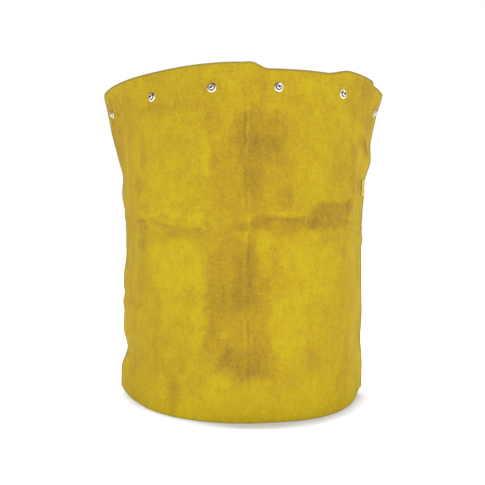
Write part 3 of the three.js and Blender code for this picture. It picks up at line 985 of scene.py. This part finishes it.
def aramid_thread():
    """Spun aramid sewing thread. The eye gets a pale yellow cord with the slant of its ply."""
    material, tree = new_material("spun_aramid_thread")
    place = add(tree, "ShaderNodeTexCoord")
    # three plies that turn once in about 1 mm
    ply = add(tree, "ShaderNodeTexWave", {
        "Vector": place.outputs["Object"], "Scale": per(0.5) / 3, "Distortion": 1.5, "Detail": 2.0},
        wave_type="BANDS", bands_direction="DIAGONAL")
    tone = add(tree, "ShaderNodeValToRGB", {0: ply.outputs["Fac"]}, stops=[(0, "#D9C257"), (1, "#F3E792")])
    bump = add(tree, "ShaderNodeBump", {
        "Strength": 0.4, "Distance": 0.08 * MM, "Height": ply.outputs["Fac"]})
    shader = add(tree, "ShaderNodeBsdfPrincipled", {
        "Base Color": tone.outputs[0], "Roughness": 0.75, "IOR": 1.55, "Sheen Weight": 0.2,
        "Normal": bump.outputs[0]})
    add(tree, "ShaderNodeOutputMaterial", {"Surface": shader.outputs[0]})
    return material


def paper(name, colour):
    """Matt background paper or card, a flat field with no gloss."""
    material, tree = new_material(name)
    shader = add(tree, "ShaderNodeBsdfPrincipled", {
        "Base Color": linear(colour), "Roughness": 1.0, "Specular IOR Level": 0.0})
    add(tree, "ShaderNodeOutputMaterial", {"Surface": shader.outputs[0]})
    return material


# ------------------------------------------------------------------ camera, light and floor

LENS = 35
SENSOR = 36
EYE_HEIGHT = 254
CAMERA_DISTANCE = 662.6   # from the front line of the bib

FLOOR_REACH = 30          # metres to each side
FLOOR_GAP = 0.0004        # metres below the nominal height of the foot edge
BLACK = "#0C0C0C"
BROWN = "#5A4426"


def make_camera():
    data = bpy.data.cameras.new("camera")
    data.lens = LENS
    data.sensor_width = SENSOR
    data.clip_start = 0.01
    camera = new_object("camera", data)
    camera.location = (SHEET_SHIFT[0] * MM, (SHEET_SHIFT[1] - CAMERA_DISTANCE) * MM, EYE_HEIGHT * MM)
    camera.rotation_euler = (math.pi / 2, 0, 0)
    bpy.context.scene.camera = camera


def lamp(name, kind, place, aim, **settings):
    """A lamp at place that shines at aim."""
    data = bpy.data.lights.new(name, kind)
    for title, value in settings.items():
        setattr(data, title, value)
    light = new_object(name, data)
    light.location = place
    light.rotation_euler = (Vector(aim) - Vector(place)).to_track_quat("-Z", "Y").to_euler()


def card(name, corners, colour):
    """A dark card off to one side that only the polished metal mirrors."""
    mesh = bpy.data.meshes.new(name)
    mesh.from_pydata(corners, [], [(0, 1, 2, 3)])
    mesh.materials.append(paper(name, colour))
    sheet = new_object(name, mesh)
    sheet.visible_camera = False
    sheet.visible_diffuse = False
    sheet.visible_shadow = False


def make_stage():
    floor = bpy.data.meshes.new("floor")
    reach = FLOOR_REACH
    corners = [(-reach, -reach), (reach, -reach), (reach, reach), (-reach, reach)]
    floor.from_pydata([(x, y, -FLOOR_GAP) for x, y in corners], [], [(0, 1, 2, 3)])
    floor.materials.append(paper("white_paper", "#DCDFE7"))
    new_object("floor", floor)
    world = bpy.data.worlds.new("studio")
    world.use_nodes = True
    world.node_tree.nodes["Background"].inputs["Color"].default_value = linear("#FFFFFF")
    world.node_tree.nodes["Background"].inputs["Strength"].default_value = 1.0
    bpy.context.scene.world = world
    # two overhead lamps that lean apart: each fills the shade that the other leaves beside the bib
    for name, lean, energy in (("overhead_left", -0.085, 2.3), ("overhead_right", 0.08, 2.0)):
        lamp(name, "SUN", (lean, 0.05, 1), (0, 0, 0), energy=energy, angle=math.radians(2.8))
    # a low soft box before the foot
    lamp("front", "AREA", (0.3, -2.0, 0.12), (0, 0, 0.06), energy=7, shape="RECTANGLE", size=1.4, size_y=0.2)
    card("card_above", [(-1.6, -1.7, 1.2), (0.4, -1.7, 1.2), (0.9, -0.3, 2.2), (-1.6, -0.3, 2.2)], BLACK)
    card("card_left", [(-1.7, -1.0, 0.75), (-1.9, 0.8, 0.75), (-1.5, 0.8, 2.0), (-1.4, -1.0, 2.0)], BLACK)
    for name, side in (("card_back_left", -1), ("card_back_right", 1)):
        card(name, [(side * 1.0, 1.55, 0.62), (side * 1.9, 0.95, 0.62), (side * 1.9, 0.95, 1.3),
                    (side * 1.0, 1.55, 1.3)], BROWN)
    bpy.context.scene.view_settings.view_transform = "Standard"


# ------------------------------------------------------------------ the bib


def build():
    hide = suede("buffed_split_cowhide", [
        (0, "#B69F1A"), (0.3, "#AC921C"), (0.5, "#A3861F"), (0.75, "#967722"), (1, "#876724")], "#6E6632")
    patch_hide = suede("pale_split_patch", [(0, "#C9B250"), (0.5, "#BBA146"), (1, "#A88D40")], "#8F8247")
    nickel = nickel_plate()
    thread = aramid_thread()

    panel = leather_panel()
    panel.data.materials.append(hide)
    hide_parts("bib_panel")

    patch = label_patch()
    patch.data.materials.append(patch_hide)
    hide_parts("side_label")

    studs, eyelets = (
        snap_row(name + "s", ring, [f"{name}_{k + 1}" for k in range(SNAP_COUNT)], nickel, seed)
        for name, ring, seed in (
            ("snap_stud", turned_ring("stud", stud_outline(), 48, groove_painted_shade), 2),
            ("snap_eyelet", turned_ring("eyelet", eyelet_outline(), 72, bore_painted_shade, star_lip), 5),
        )
    )

    needle = label_stitches("label_needle_stitches", LABEL_LIFT + LABEL_THICKNESS + 0.05, 1, thread, 3)
    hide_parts("label_needle_thread")
    bobbin = label_stitches("label_bobbin_stitches", LEATHER / 2, -1, thread, 4)
    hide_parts("label_bobbin_thread")

    pieces = [panel, patch, studs, eyelets, needle, bobbin]
    for piece in pieces:
        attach(piece, "root")


build()
make_stage()
make_camera()
